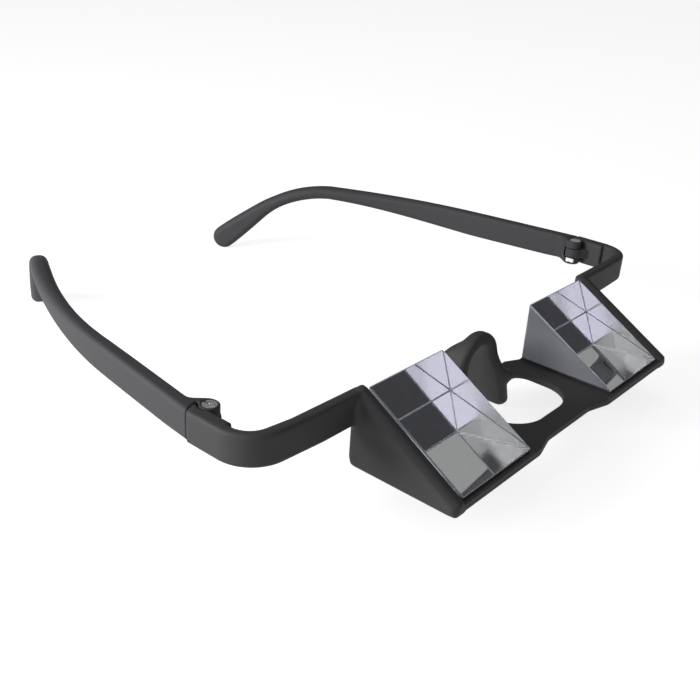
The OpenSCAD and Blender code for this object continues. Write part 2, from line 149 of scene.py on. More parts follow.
class FrameSettings(bpy.types.PropertyGroup):
    """Trays, bar, cheeks and arms of the front moulding."""
    tray_t: length("Tray thickness", "Thickness of the plate under the prisms", 2.2 * MM)
    under_round: length("Under rounding", "Rounding of the tray's lower edges", 1.3 * MM)
    lip_t: length("Lip thickness", "Thickness of the lip in front of a prism", 0.75 * MM)
    lip_h: length("Lip height", "Height of the lip above the prism's underside", -0.05 * MM)
    groove: length("Groove", "Depth of the groove under the lip", 0.3 * MM)
    bar_d: length("Bar depth", "Depth of the bar between the trays", 5.8 * MM)
    bar_setback: length("Bar setback", "Distance of the bar behind the trays' front", 1.9 * MM)
    notch_w: length("Notch width", "Width of the notch for the nose", 26.5 * MM)
    notch_r: length("Notch radius", "Radius of the notch's front corners", 9 * MM)
    cheek_t: length("Cheek thickness", "Thickness of the wall beside a prism", 4.2 * MM)
    cheek_round: length("Cheek rounding", "Rounding of the cheek's lower and back edges", 1.5 * MM)
    rim_h: length("Rim height", "Height of the cheek's rim above the glass", 0.75 * MM)
    rim_round: length("Rim rounding", "Rounding of the rim's outer edge", 2.2 * MM)
    rim_fall: length("Rim fall", "Rounding of the rim's edge beside the glass", 1.9 * MM)
    cheek_back: length("Cheek back", "How far the cheek runs back past the prism", 1.3 * MM)
    arm_t: length("Arm thickness", "Thickness of an arm at its hinge", 3.7 * MM)
    arm_front: length("Arm front", "Place of an arm's front face", -1.05 * MM)
    arm_back: length("Arm back", "Place of an arm's back face", 2 * MM)
    arm_rake: length("Arm rake", "How far an arm runs back towards its bend", 1.15 * MM)
    arm_z: length("Arm height", "Height of an arm's underside", 8.27 * MM)
    arm_h: length("Arm depth", "Height of the arm itself", 7.65 * MM)
    arm_bend_r: length("Bend radius", "Outer radius of the bend of an arm", 9.6 * MM)
    arm_round: length("Arm rounding", "Rounding of an arm's long edges", 0.85 * MM)
    arm_blend: length("Arm blend", "Fillet where an arm leaves its cheek", 1.6 * MM)
    grid: length("Grid", "Step of the grid that the moulding is meshed on", 0.37 * MM)


class SaddleSettings(bpy.types.PropertyGroup):
    """The nose saddle of the front moulding."""
    crown_z: length("Crown height", "Height of the crown above the prisms' undersides", 12.6 * MM)
    crown_r: length("Crown radius", "Outer radius of the crown", 8.45 * MM)
    wall: length("Wall", "Wall thickness of the saddle", 3.4 * MM)
    flank: angle("Flank angle", "Slope of the flanks away from upright", 18)
    flank_len: length("Flank length", "Length of the flanks from front to back", 14 * MM)
    rounding: length("Rounding", "Rounding of the saddle's edges", 1.45 * MM)
    blend: length("Blend", "Fillet where the flanks meet the tray", 2.2 * MM)


class TempleSettings(bpy.types.PropertyGroup):
    """The two temples."""
    end_height: length("End height", "Height of a temple at its hinge", 7.5 * MM)
    height: length("Height", "Height of a temple behind its hinge", 7.85 * MM)
    thick: length("Thickness", "Thickness of a temple behind its hinge", 3.7 * MM)
    tip_thick: length("Tip thickness", "Thickness of a temple at its tip", 5 * MM)
    neck: length("Neck height", "Height of a temple above the ear", 4.3 * MM)
    paddle: length("Paddle height", "Height of the paddle at the end", 8 * MM)
    straight: length("Straight length", "Length of the straight front part", 40.3 * MM)
    straight_angle: angle("Straight angle", "Angle of the straight part, inwards", 7.8)
    wrap_r: length("Wrap radius", "Radius of the curve that brings a temple in", 159 * MM)
    tip_angle: angle("Tip angle", "Angle of the last part, inwards", 29)
    ear_len: length("Ear length", "Length from the end face to the ear bend", 90.7 * MM)
    ear_r: length("Ear radius", "Radius of the ear bend", 43.6 * MM)
    ear_drop: angle("Ear drop", "Angle of the paddle below level", 40)
    rounding: length("Rounding", "Rounding of the long edges behind the hinge", 1.1 * MM)
    tip_rounding: length("Tip rounding", "Rounding of the long edges at the tip", 2.1 * MM)
    grid: length("Grid", "Step of the grid that a temple is meshed on", 0.26 * MM)


class HingeSettings(bpy.types.PropertyGroup):
    """Knuckles and slits of the two hinges."""
    knuckle_r: length("Knuckle radius", "Outer radius of the knuckles", 2.5 * MM)
    upper_r: length("Upper radius", "Outer radius of the temple's upper knuckle", 2.25 * MM)
    slit_y: length("Slit place", "Distance of the slit behind the hinge's axis", 1.1 * MM)
    slit_w: length("Slit width", "Gap between an arm's end and its temple", 0.2 * MM)
    slit_angle: angle("Slit angle", "Slant of the slit, back towards the inside", 18)
    frame_knuckle_h: length("Frame knuckle", "Height of the knuckle on the frame", 2.8 * MM)
    frame_knuckle_z: length("Frame knuckle place", "Height of that knuckle's underside", 10.55 * MM)
    upper_h: length("Upper knuckle", "Height of the temple's upper knuckle", 2.4 * MM)
    gap: length("Knuckle gap", "Gap above and below the frame's knuckle", 0.15 * MM)
    turn_gap: length("Turning gap", "Gap round the knuckles", 0.35 * MM)
    bore_r: length("Bore radius", "Radius of the bores", 1.05 * MM)
    blend: length("Blend", "Fillet from the knuckle into the temple", 4.5 * MM)


class FinishSettings(bpy.types.PropertyGroup):
    """Colours and gloss of the finishes."""
    plastic: colour("Plastic", "Black moulded plastic", (0.021, 0.021, 0.023))
    plastic_rough: factor("Plastic roughness", "Roughness of the moulded plastic", 0.38)
    plastic_gloss: factor("Plastic gloss", "Specular level of the moulded plastic", 0.33)
    steel: colour("Steel", "Plated steel", (0.78, 0.78, 0.79))
    steel_rough: factor("Steel roughness", "Roughness of the plated steel", 0.35)
    paint: colour("Backing paint", "Paint over the silvering", (0.10, 0.10, 0.11))
    adhesive: colour("Adhesive", "Set adhesive", (0.22, 0.22, 0.21))
    floor: colour("Floor", "Floor of the studio", (0.55, 0.55, 0.55))


class StageSettings(bpy.types.PropertyGroup):
    """Camera and light."""
    turn: angle("Camera turn", "Direction of the camera round the object", -50.67)
    rise: angle("Camera rise", "Height of the camera's direction above level", 26.07)
    roll: angle("Camera roll", "Tilt of the picture", 3.62)
    lens: FloatProperty(name="Lens", description="Focal length in millimetres", default=47.42)
    eye: place("Camera place", "Place of the camera in the worn datum",
               (-183.43 * MM, -106.43 * MM, 108.84 * MM))
    target: place("Target", "Point that the lamps are turned to", (0, 0, 12 * MM))
    key_turn: angle("Key turn", "Direction of the key lamp round the object", -115)
    key_rise: angle("Key rise", "Height of the key lamp's direction above level", 17)
    key_away: length("Key distance", "Distance of the key lamp from the target", 450 * MM)
    key_size: length("Key size", "Side of the square key lamp", 180 * MM)
    key_power: power("Key power", "Power of the key lamp", 2.1)
    top_place: place("Top place", "Place of the lamp overhead", (0.05, 0.25, 1.0))
    top_size: length("Top size", "Side of the square lamp overhead", 700 * MM)
    top_power: power("Top power", "Power of the lamp overhead", 1)
    top_tint: colour("Top tint", "Colour of the lamp overhead", (0.95, 0.96, 1.0))
    floor_glow: factor("Floor glow", "Glow of the floor for rays that don't light the object", 0.8)
    fill: factor("Fill", "Strength at which the world lights the object", 0.2)
    floor_half: length("Floor", "Half of the floor's side", 3)


def smooth(t, a, b):
    """Smooth step: 0 before a, 1 after b, and t * t * (3 - 2 t) of the share between."""
    t = np.clip((t - a) / (b - a), 0, 1)
    return t * t * (3 - 2 * t)


def meet(a, b, r):
    """Field of what lies in both solids a and b. Their common edge is a quarter round of radius r:
    where both fields are above -r, the distance is taken from the round's centre line."""
    return np.minimum(-r, np.maximum(a, b)) + np.hypot(np.maximum(r + a, 0), np.maximum(r + b, 0))


def join(a, b, r):
    """Field of what lies in solid a or b. Their common corner is filled by a hollow of radius r:
    where both fields are below r, the distance is taken to the hollow's centre line."""
    return np.maximum(r, np.minimum(a, b)) - np.hypot(np.maximum(r - a, 0), np.maximum(r - b, 0))


def cut(a, b, r):
    """Field of solid a without solid b, with the cut's edge rounded by radius r."""
    return meet(a, -b, r)


def slab(v, low, high):
    """Field of the space from low to high along v: distance to its middle less half its width."""
    return np.abs(v - (low + high) / 2) - (high - low) / 2


def rounded(corners, steps=18):
    """Closed outline through corners (u, v, radius). Each corner with a radius becomes an arc that
    touches both of its sides, in steps equal turns."""
    points = np.array(corners, float)
    parts = []
    for before, at, after in zip(np.roll(points, 1, 0), points, np.roll(points, -1, 0)):
        radius = at[2]
        if radius == 0:
            parts.append(at[None, :2])
            continue
        u = (before - at)[:2] / np.hypot(*(before - at)[:2])
        w = (after - at)[:2] / np.hypot(*(after - at)[:2])
        half = math.acos(u @ w) / 2
        middle = (u + w) / np.hypot(*(u + w))
        centre = at[:2] + middle * radius / math.sin(half)
        start = at[:2] + u * radius / math.tan(half) - centre
        end = at[:2] + w * radius / math.tan(half) - centre
        first = math.atan2(start[1], start[0])
        turn = (math.atan2(end[1], end[0]) - first + 3 * math.pi) % (2 * math.pi) - math.pi
        a = first + turn * np.linspace(0, 1, steps + 1)
        parts.append(centre + radius * np.c_[np.cos(a), np.sin(a)])
    return np.vstack(parts)


def inside_of(u, v, outline):
    """Field of a closed outline in a plane: the least distance to its sides, negative where a ray
    from the point crosses the sides an odd number of times."""
    u, v = np.broadcast_arrays(u, v)
    nearest = np.full(u.shape, np.inf)
    within = np.zeros(u.shape, bool)
    for a, b in zip(outline, np.roll(outline, -1, 0)):
        side = b - a
        t = np.clip(((u - a[0]) * side[0] + (v - a[1]) * side[1]) / (side @ side + 1e-18), 0, 1)
        nearest = np.minimum(nearest, (u - a[0] - t * side[0]) ** 2 + (v - a[1] - t * side[1]) ** 2)
        if side[1] != 0:
            within ^= ((a[1] > v) != (b[1] > v)) & (u < a[0] + (v - a[1]) / side[1] * side[0])
    return np.where(within, -1, 1) * np.sqrt(nearest)


CELL_CORNERS = np.array([(i, j, k) for i in (0, 1) for j in (0, 1) for k in (0, 1)])
CELL_EDGES = [(a, b) for a in range(8) for b in range(a + 1, 8)
              if np.abs(CELL_CORNERS[a] - CELL_CORNERS[b]).sum() == 1]


def sample(grid, spot):
    """Values of a grid at spots in grid units: the eight nearest values, weighted by nearness."""
    low = np.clip(np.floor(spot).astype(int), 0, np.array(grid.shape) - 2)
    share = spot - low
    value = 0
    for corner in CELL_CORNERS:
        weight = np.prod(np.where(corner, share, 1 - share), axis=1)
        value = value + weight * grid[tuple((low + corner).T)]
    return value


def skin(field, low, high, step):
    """Closed mesh of the level 0 of field(x, y, z), which is negative inside a solid.

    The field is worked out on a grid. Each cell that the surface crosses gets one point, at the mean
    of the crossings on the cell's edges. Each grid edge that the surface crosses gets one face,
    between the four cells round it. The points then move down the field's slope onto the surface.
    Returns the points, the faces, and how sharply the surface bends at each point, in 1 / metre."""
    origin = np.array(low) - 2 * step
    axes = [np.arange(a, b + 2 * step, step) for a, b in zip(origin, high)]
    shape = tuple(len(a) for a in axes)
    grid = np.broadcast_to(field(*np.meshgrid(*axes, indexing="ij", sparse=True)), shape)
    solid = grid < 0
    filled = sum(solid[i:shape[0] - 1 + i, j:shape[1] - 1 + j, k:shape[2] - 1 + k].astype(np.int8)
                 for i, j, k in CELL_CORNERS)
    cells = np.argwhere((filled > 0) & (filled < 8))
    number = np.full(filled.shape, -1)
    number[tuple(cells.T)] = np.arange(len(cells))

    total = np.zeros((len(cells), 3))
    hits = np.zeros((len(cells), 1))
    for a, b in CELL_EDGES:
        first = grid[tuple((cells + CELL_CORNERS[a]).T)]
        last = grid[tuple((cells + CELL_CORNERS[b]).T)]
        crossed = ((first < 0) != (last < 0))[:, None]
        t = (first / np.where(first == last, 1, first - last))[:, None]
        total += crossed * (CELL_CORNERS[a] + t * (CELL_CORNERS[b] - CELL_CORNERS[a]))
        hits += crossed
    spot = cells + total / hits

    faces = []
    for axis in range(3):
        b, c = np.roll(np.eye(3, dtype=int), -1 - axis, axis=0)[:2]
        ahead = np.take(solid, range(1, shape[axis]), axis)
        here = np.take(solid, range(shape[axis] - 1), axis)
        edges = np.argwhere(ahead != here)
        round_edge = np.stack([edges, edges - b, edges - b - c, edges - c], 1)
        quads = number[tuple(np.moveaxis(round_edge, 2, 0))]
        out_ahead = here[tuple(edges.T)]
        faces.append(np.where(out_ahead[:, None], quads, quads[:, ::-1]))

    passes = 2
    least_slope = 0.1
    most_move = 0.5
    slopes = np.gradient(grid, step)
    for _ in range(passes):
        slope = np.stack([sample(s, spot) for s in slopes], 1)
        away = field(*(origin + spot * step).T)
        move = away[:, None] * slope / np.maximum((slope ** 2).sum(1, keepdims=True), least_slope)
        spot -= np.clip(move / step, -most_move, most_move)
    bend = sum(np.gradient(s, step, axis=i) for i, s in enumerate(slopes))
    return origin + spot * step, np.vstack(faces), sample(bend, spot)


def mirrored(points, faces):
    """The same mesh on the other side of x = 0, with its faces turned back outwards."""
    return points * [-1, 1, 1], [f[::-1] for f in faces] if isinstance(faces, list) else faces[:, ::-1]


def add_piece(name, points, faces, materials, body, nodes, index=None, smooth_angle=None):
    """Adds a mesh about the worn datum, in its body, with its materials and the nodes it stands for."""
    mesh = bpy.data.meshes.new(name)
    rows = faces if isinstance(faces, list) else faces.tolist()
    mesh.from_pydata((points + np.array(DATUM)).tolist(), [], rows)
    for material in materials:
        mesh.materials.append(material)
    if index is not None:
        mesh.polygons.foreach_set("material_index", index)
    mesh.shade_smooth()
    if smooth_angle is not None:
        mesh.set_sharp_from_angle(angle=math.radians(smooth_angle))
    mesh.update()
    piece = bpy.data.objects.new(name, mesh)
    bpy.context.scene.collection.objects.link(piece)
    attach(piece, body)
    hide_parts(*nodes)
    return piece


def set_bend(piece, bend):
    """Keeps on the mesh how sharply it bends, from 0 on a flat to 1 on a round of half a millimetre. The
    plastic's painted highlight on the rounds follows it.
    """
    wear_and_sheen = piece.data.attributes.new("bend", "FLOAT", "POINT")
    wear_and_sheen.data.foreach_set("value", np.clip(bend * 0.5 * MM, 0, 1).astype(np.float32))


def front_places(sizes, saddle):
    """The places that the outlines of the front moulding share, in the worn datum."""
    at = SimpleNamespace()
    at.front = FRONT_LOW.y - DATUM.y
    at.foot = FRONT_LOW.z - DATUM.z
    at.top = BOND_LOW.z - DATUM.z
    at.under = at.top - sizes.tray_t
    at.half_w = FRONT_HIGH.x
    at.cheek_in = PRISM_HIGH.x + GLASS_GAP
    at.cheek_out = at.cheek_in + sizes.cheek_t
    at.slope = math.tan(bpy.context.scene.belay_glass.wedge)
    at.arm_top = sizes.arm_z + sizes.arm_h
    at.block = at.half_w - sizes.arm_t
    at.crown_c = saddle.crown_z - saddle.crown_r
    at.lean = math.tan(saddle.flank)
    return at


def tray_plan(sizes, saddle, at):
    """Plan of the trays, the bar and the tabs that carry the saddle, for x above 0."""
    past_middle = -10 * MM
    bar_front = at.front + sizes.bar_setback
    bar_back = bar_front + sizes.bar_d
    tray_back = 0.6 * MM
    notch = sizes.notch_w / 2
    flank_top = at.crown_c + saddle.crown_r * math.sin(saddle.flank)
    flank_x = saddle.crown_r * math.cos(saddle.flank) + (flank_top - at.top) * at.lean
    tab_in = flank_x - 0.9 * MM
    tab_front, tab_back = -2.8 * MM, 2.6 * MM
    corner_r, flare_r = 2 * MM, 6 * MM
    return rounded([
        (past_middle, bar_front, 0), (10 * MM, bar_front, flare_r), (17 * MM, at.front, flare_r),
        (at.cheek_out, at.front, corner_r), (at.cheek_out, sizes.cheek_back, corner_r),
        (at.cheek_in, sizes.cheek_back, 0), (at.cheek_in, tray_back, 0),
        (PRISM_LOW.x, tray_back, 3 * MM), (notch + 2.2 * MM, tab_back, 0), (tab_in, tab_back, 0),
        (tab_in, tab_front, 0), (notch, tab_front, 3.6 * MM), (notch, bar_back, sizes.notch_r),
        (past_middle, bar_back, 0)])


def cheek_wall(sizes, at):
    """Side view of a cheek: a triangle with a flat on top, whose rim runs a little above the glass."""
    rise = sizes.rim_h / math.cos(math.atan(at.slope)) - (GLASS_GAP + sizes.lip_t) * at.slope
    box_room = 0.03 * MM
    rim_top = FRONT_HIGH.z - DATUM.z - box_room
    return rounded([
        (sizes.cheek_back, at.under, 2.5 * MM), (sizes.cheek_back, rim_top, 0.6 * MM),
        (at.front + (rim_top - rise) / at.slope, rim_top, 0.5 * MM), (at.front, rise, 0.8 * MM),
        (at.front, at.under, 0.9 * MM)])


def arm_plan(sizes, at):
    """Plan of an arm: out from the cheek, round the bend and back past the hinge. Its block, where the
    hinge is, is thicker than the rest by a step."""
    start = at.cheek_in + 1.5 * MM
    end = HINGE.y + 8 * MM
    step_y = HINGE.y - 8.7 * MM
    step_r = 0.2 * MM
    thin = at.half_w - 2.75 * MM
    return rounded([
        (start, sizes.arm_front, 0), (61 * MM, sizes.arm_front, 40 * MM),
        (at.half_w, sizes.arm_front + sizes.arm_rake, sizes.arm_bend_r), (at.half_w, end, 0),
        (at.block, end, 0), (at.block, step_y + 0.3 * MM, step_r), (thin, step_y, step_r),
        (thin, sizes.arm_back + 1.6 * MM, 5 * MM), (68 * MM, sizes.arm_back + 0.3 * MM, 10 * MM),
        (start, sizes.arm_back, 0)])


def web_plan(at):
    """Plan of the web that carries the frame's knuckle on the arm's block."""
    web_front = HINGE.y - 4.6 * MM
    web_out = at.block + 1.5 * MM
    return rounded([
        (HINGE.x - 1.2 * MM, HINGE.y - 2 * MM, 0), (at.block, web_front, 0), (web_out, web_front, 0),
        (web_out, HINGE.y - 0.4 * MM, 0), (HINGE.x + 1.6 * MM, HINGE.y + 1.7 * MM, 0)])


def saddle_arch(saddle, at):
    """Front view of the nose saddle: a round crown on two leaning flanks, as an outer and an inner
    line a wall apart."""
    arch = []
    for radius, way in ((saddle.crown_r, 1), (saddle.crown_r - saddle.wall, -1)):
        a = np.linspace(math.pi - saddle.flank, saddle.flank, 25)[::way]
        run = (at.crown_c + radius * math.sin(saddle.flank) - at.foot) * at.lean
        half = radius * math.cos(saddle.flank) + run
        ends = np.array([[-half, at.foot], [half, at.foot]])
        arc = np.c_[radius * np.cos(a), at.crown_c + radius * np.sin(a)]
        arch.append(np.vstack([ends[::way][:1], arc, ends[::way][1:]]))
    return np.vstack(arch)


def saddle_wing(saddle, at):
    """Side view of the nose saddle: a narrow crown over flanks that reach back along the nose."""
    nose_front = 0.6 * MM
    nose_lean = nose_front - 2.4 * MM
    crown_back = nose_front + 4 * MM
    above = saddle.crown_z + 2 * MM
    return rounded([
        (nose_front, above, 0), (nose_front, at.crown_c, saddle.crown_r),
        (nose_lean, 0, saddle.crown_r), (nose_lean, at.foot, 3 * MM), (7.2 * MM, at.foot, 5 * MM),
        (nose_lean + saddle.flank_len, -4 * MM, 6 * MM), (8 * MM, 8.3 * MM, 9 * MM),
        (crown_back, 10.9 * MM, 2 * MM), (crown_back, above, 0)])


def slit_side(hinge, x, y):
    """Distance behind the slanted end of an arm, at the slit before its temple."""
    across = (x - FRONT_HIGH.x) * math.sin(hinge.slit_angle)
    return across + (y - (HINGE.y + hinge.slit_y)) * math.cos(hinge.slit_angle)


def front_field(sizes, saddle, hinge):
    """Field of the front moulding. Plates, cheeks and arms are outlines given a thickness; the nose
    saddle is what an arch seen from the front and a wing seen from the side have in common."""
    at = front_places(sizes, saddle)
    plan = tray_plan(sizes, saddle, at)
    wall = cheek_wall(sizes, at)
    arm_outline = arm_plan(sizes, at)
    web = web_plan(at)
    arch = saddle_arch(saddle, at)
    wing = saddle_wing(saddle, at)
    knuckle_top = hinge.frame_knuckle_z + hinge.frame_knuckle_h
    edge_r, lip_r = 0.5 * MM, 0.3 * MM
    lip_in, lip_out = 17 * MM, at.cheek_in + 0.5 * MM
    lip_low = at.under + 0.8 * MM
    groove_z, groove_half = -1.05 * MM, 0.35 * MM
    groove_from, groove_full = 20 * MM, 24 * MM
    rim_low = -1.5 * MM
    end_edge, pocket_edge, knuckle_edge, bore_edge = 0.25 * MM, 0.15 * MM, 0.2 * MM, 0.1 * MM
    pocket_low, pocket_high = sizes.arm_z - 4 * MM, at.arm_top + 2 * MM
    web_fillet, least_fillet = 0.6 * MM, 0.05 * MM
    fillet_top, fillet_full = 0.6 * MM, 3 * MM
    fillet_back, fillet_side = 1 * MM, 1.5 * MM

    def field(x, y, z):
        x = np.abs(x)
        plate = meet(meet(inside_of(x, y, plan), at.under - z, sizes.under_round), z - at.top, edge_r)
        lip = meet(slab(y, at.front, at.front + sizes.lip_t), slab(z, lip_low, sizes.lip_h), lip_r)
        lip = meet(lip, slab(x, lip_in, lip_out), lip_r)
        hollow = np.exp(-((z - groove_z) / groove_half) ** 2)
        groove = sizes.groove * hollow * smooth(-y, groove_from, groove_full)
        on_rim = smooth(z - (y - at.front) * at.slope, rim_low, 0)
        outer = sizes.cheek_round + (sizes.rim_round - sizes.cheek_round) * on_rim
        inner = edge_r + (sizes.rim_fall - edge_r) * on_rim
        cheek = meet(meet(inside_of(y, z, wall), x - at.cheek_out, outer), at.cheek_in - x, inner)
        body = np.minimum(np.minimum(plate, lip) + groove, cheek)

        arm = meet(inside_of(x, y, arm_outline), slab(z, sizes.arm_z, at.arm_top), sizes.arm_round)
        arm = meet(arm, slit_side(hinge, x, y), end_edge)
        axle = np.hypot(x - HINGE.x, y - HINGE.y)
        for low, high, radius in ((pocket_low, hinge.frame_knuckle_z, hinge.knuckle_r),
                                  (knuckle_top, pocket_high, hinge.upper_r)):
            turning = np.maximum(axle - radius - hinge.turn_gap, slab(z, low, high))
            arm = cut(arm, turning, pocket_edge)
        knuckle = join(axle - hinge.knuckle_r + KNUCKLE_LESS, inside_of(x, y, web), web_fillet)
        knuckle = meet(knuckle, slab(z, hinge.frame_knuckle_z, knuckle_top), knuckle_edge)
        # the fillet fades out where the arm's top and back lie level with the cheek's, and beside the glass
        fillet = sizes.arm_blend * smooth(at.arm_top - z, fillet_top, fillet_full)
        fillet = fillet * smooth(-y, -fillet_back, 0)
        fillet = least_fillet + fillet * smooth(x, at.cheek_out - fillet_side, at.cheek_out)
        body = np.minimum(join(body, arm, fillet), knuckle)
        body = cut(body, axle - hinge.bore_r, bore_edge)

        nose = meet(inside_of(x, z, arch), inside_of(y, z, wing), saddle.rounding)
        return join(body, nose, saddle.blend)

    return field


def wrap(temple, s, d):
    """Plan of a temple: a straight, an arc and a straight. The length s along it and the distance d
    outside its outer face give x and y."""
    bend = np.clip((s - temple.straight) / temple.wrap_r, 0, temple.tip_angle - temple.straight_angle)
    a = temple.straight_angle + bend
    arc = temple.wrap_r * (temple.tip_angle - temple.straight_angle)
    first = np.minimum(s, temple.straight)
    last = np.maximum(s - temple.straight - arc, 0)
    x = FRONT_HIGH.x - first * math.sin(temple.straight_angle) - last * math.sin(temple.tip_angle)
    y = HINGE.y + first * math.cos(temple.straight_angle) + last * math.cos(temple.tip_angle)
    x = x + temple.wrap_r * (np.cos(a) - math.cos(temple.straight_angle)) + d * np.cos(a)
    y = y + temple.wrap_r * (np.sin(a) - math.sin(temple.straight_angle)) + d * np.sin(a)
    return x, y


def temple_side(temple, top):
    """Side view of a temple, as s and z: its middle line with half of its height on either side, and
    a round end. The height falls to the neck and swells again to the paddle."""
    ear_z = top - temple.neck / 2
    run = temple.ear_r * math.sin(temple.ear_drop)
    fall = temple.ear_r * (1 - math.cos(temple.ear_drop))
    tip_z = FRONT_LOW.z - DATUM.z + temple.paddle / 2
    tip_s = temple.ear_len + run + (ear_z - fall - tip_z) / math.tan(temple.ear_drop)
    before_end = -5 * MM
    full_height_at = 12 * MM
    falls_from, neck_at = 35 * MM, 98 * MM
    swells_from = temple.ear_len + 19 * MM

    s = np.concatenate([np.linspace(before_end, temple.ear_len, 60),
                        np.linspace(temple.ear_len, tip_s, 28)[1:]])
    front = temple.end_height + (temple.height - temple.end_height) * smooth(s, 0, full_height_at)
    tall = front + (temple.neck - front) * smooth(s, falls_from, neck_at)
    tall = tall + (temple.paddle - temple.neck) * smooth(s, swells_from, tip_s)
    past_ear = s > temple.ear_len + run
    in_bend = np.clip((s - temple.ear_len) / temple.ear_r, 0, math.sin(temple.ear_drop))
    drop = np.where(past_ear, temple.ear_drop, np.arcsin(in_bend))
    level = top - tall / 2
    bent = np.where(past_ear,
                    ear_z - fall - (s - temple.ear_len - run) * math.tan(temple.ear_drop),
                    ear_z - temple.ear_r * (1 - np.cos(drop)))
    middle = np.where(s > temple.ear_len, bent, level)
    upper = np.c_[s + tall / 2 * np.sin(drop), middle + tall / 2 * np.cos(drop)]
    lower = np.c_[s - tall / 2 * np.sin(drop), middle - tall / 2 * np.cos(drop)]
    a = np.linspace(math.pi / 2, -math.pi / 2, 17)[1:-1] - temple.ear_drop
    end = np.c_[tip_s + temple.paddle / 2 * np.cos(a), tip_z + temple.paddle / 2 * np.sin(a)]
    return np.vstack([upper, end, lower[::-1]]), tip_s


def temple_field(temple, sizes, hinge):
    """Field of a temple along its own line: s along it, d outside its outer face, and z. The side view
    is given the temple's thickness, and the knuckles, bores and pockets follow at the front end.
    Returns the field and the low and high corners of its space."""
    top = sizes.arm_z + sizes.arm_h
    side, tip_s = temple_side(temple, top)
    half_w = FRONT_HIGH.x
    head_height, head_room = 0.9 * MM, 0.1 * MM
    head_z = SCREW_HIGH.z - DATUM.z - head_height
    head_r = (SCREW_HIGH.x - SCREW_LOW.x) / 2
    upper_z = hinge.frame_knuckle_z + hinge.frame_knuckle_h + hinge.gap
    upper_top = upper_z + hinge.upper_h
    lower_top = hinge.frame_knuckle_z - hinge.gap
    nut_z = NUT_LOW.z - DATUM.z
    nut_wall, nut_room, nut_above = 0.6 * MM, 0.1 * MM, 0.3 * MM
    lower_z = nut_z - nut_wall
    flat_share = math.cos(math.radians(30))
    nut_half = (NUT_HIGH.x - NUT_LOW.x) / 2 * flat_share + nut_room
    end_edge, upper_edge, lower_edge = 0.25 * MM, 0.35 * MM, 0.9 * MM
    bore_edge, head_edge, pocket_edge = 0.1 * MM, 0.12 * MM, 0.08 * MM
    least_fillet = 0.1 * MM
    fillet_from, fillet_full = -0.5 * MM, 1.5 * MM
    near_axle, off_axle = 2.8 * MM, 6 * MM
    inner_face, outer_face = -2.4 * MM, -0.8 * MM
    sharp = 0.5 * MM
    thickens_from, thick_at = 45 * MM, 92 * MM
    rounds_from, round_at = 25 * MM, 85 * MM

    def field(s, d, z):
        x = half_w - s * math.sin(temple.straight_angle) + d * math.cos(temple.straight_angle)
        y = HINGE.y + s * math.cos(temple.straight_angle) + d * math.sin(temple.straight_angle)
        axle = np.hypot(x - HINGE.x, y - HINGE.y)
        thick = temple.thick + (temple.tip_thick - temple.thick) * smooth(s, thickens_from, thick_at)
        fillet = least_fillet + hinge.blend * smooth(s, fillet_from, fillet_full)
        plan = np.maximum(join(-thick - d, axle - hinge.upper_r, fillet), d)
        # the long edges are rounded more than the edge of the knuckle
        full = np.maximum(smooth(axle, near_axle, off_axle), smooth(d, inner_face, outer_face))
        edge = temple.rounding + (temple.tip_rounding - temple.rounding) * smooth(s, rounds_from, round_at)
        body = meet(inside_of(s, z, side), plan, sharp + (edge - sharp) * full)
        before = slit_side(hinge, x, y) - hinge.slit_w
        arm = np.maximum(before, (half_w - sizes.arm_t - hinge.turn_gap) - x)
        body = cut(body, arm, end_edge)
        upper = meet(axle - hinge.upper_r, slab(z, upper_z, upper_top), upper_edge)
        lower = meet(axle - hinge.knuckle_r, lower_z - z, lower_edge)
        lower = np.maximum(lower, z - lower_top)
        body = np.minimum(body, np.minimum(upper, lower))
        between = np.maximum(axle - hinge.knuckle_r - hinge.turn_gap + KNUCKLE_LESS,
                             slab(z, lower_top, upper_z))
        body = cut(body, between, bore_edge)
        body = cut(body, axle - hinge.bore_r, bore_edge)
        body = cut(body, np.maximum(axle - head_r - head_room, head_z - z), head_edge)
        across = np.abs(y - HINGE.y)
        along = np.abs(x - HINGE.x)
        hexagon = np.maximum(across, across / 2 + along * flat_share) - nut_half
        way_in = np.maximum(across - nut_half, x - HINGE.x)
        pocket = np.maximum(np.minimum(hexagon, way_in), slab(z, nut_z, lower_top + nut_above))
        return cut(body, pocket, pocket_edge)

    low = (-3 * MM, -hinge.knuckle_r * 2 - 3.5 * MM, min(lower_z, FRONT_LOW.z - DATUM.z))
    high = (tip_s + temple.paddle / 2, 0, top)
    return field, low, high


def new_group(name, inputs, outputs):
    """A shader node group with its sockets, as (group, input node, output node)."""
    group = bpy.data.node_groups.new(name, "ShaderNodeTree")
    for label, kind, value in inputs:
        socket = group.interface.new_socket(label, in_out="INPUT", socket_type=kind)
        if value is not None:
            socket.default_value = value
    for label, kind in outputs:
        group.interface.new_socket(label, in_out="OUTPUT", socket_type=kind)
    return group, group.nodes.new("NodeGroupInput"), group.nodes.new("NodeGroupOutput")


def node(tree, kind, links=None, **settings):
    """A node with its settings; links gives the value or the source of each named input."""
    made = tree.nodes.new(kind)
    for key, value in settings.items():
        setattr(made, key, value)
    for key, value in (links or {}).items():
        if isinstance(value, bpy.types.NodeSocket):
            tree.links.new(value, made.inputs[key])
        else:
            made.inputs[key].default_value = value
    return made


def noise(tree, spot, scale, detail, roughness=0.5):
    """Noise with so many waves a metre, from 0 to 1 about its mean of a half."""
    return node(tree, "ShaderNodeTexNoise", {"Vector": spot, "Scale": scale, "Detail": detail,
                                             "Roughness": roughness}).outputs["Fac"]


def ramp(tree, value, low, high, first, last):
    """A straight change from first, where the value is low or less, to last, where it is high or more."""
    return node(tree, "ShaderNodeMapRange", {0: value, 1: low, 2: high, 3: first, 4: last}).outputs[0]


def spread(tree, value, first, last):
    """A straight change from first to last over 0.3 to 0.7, where most of a noise lies."""
    return ramp(tree, value, 0.3, 0.7, first, last)


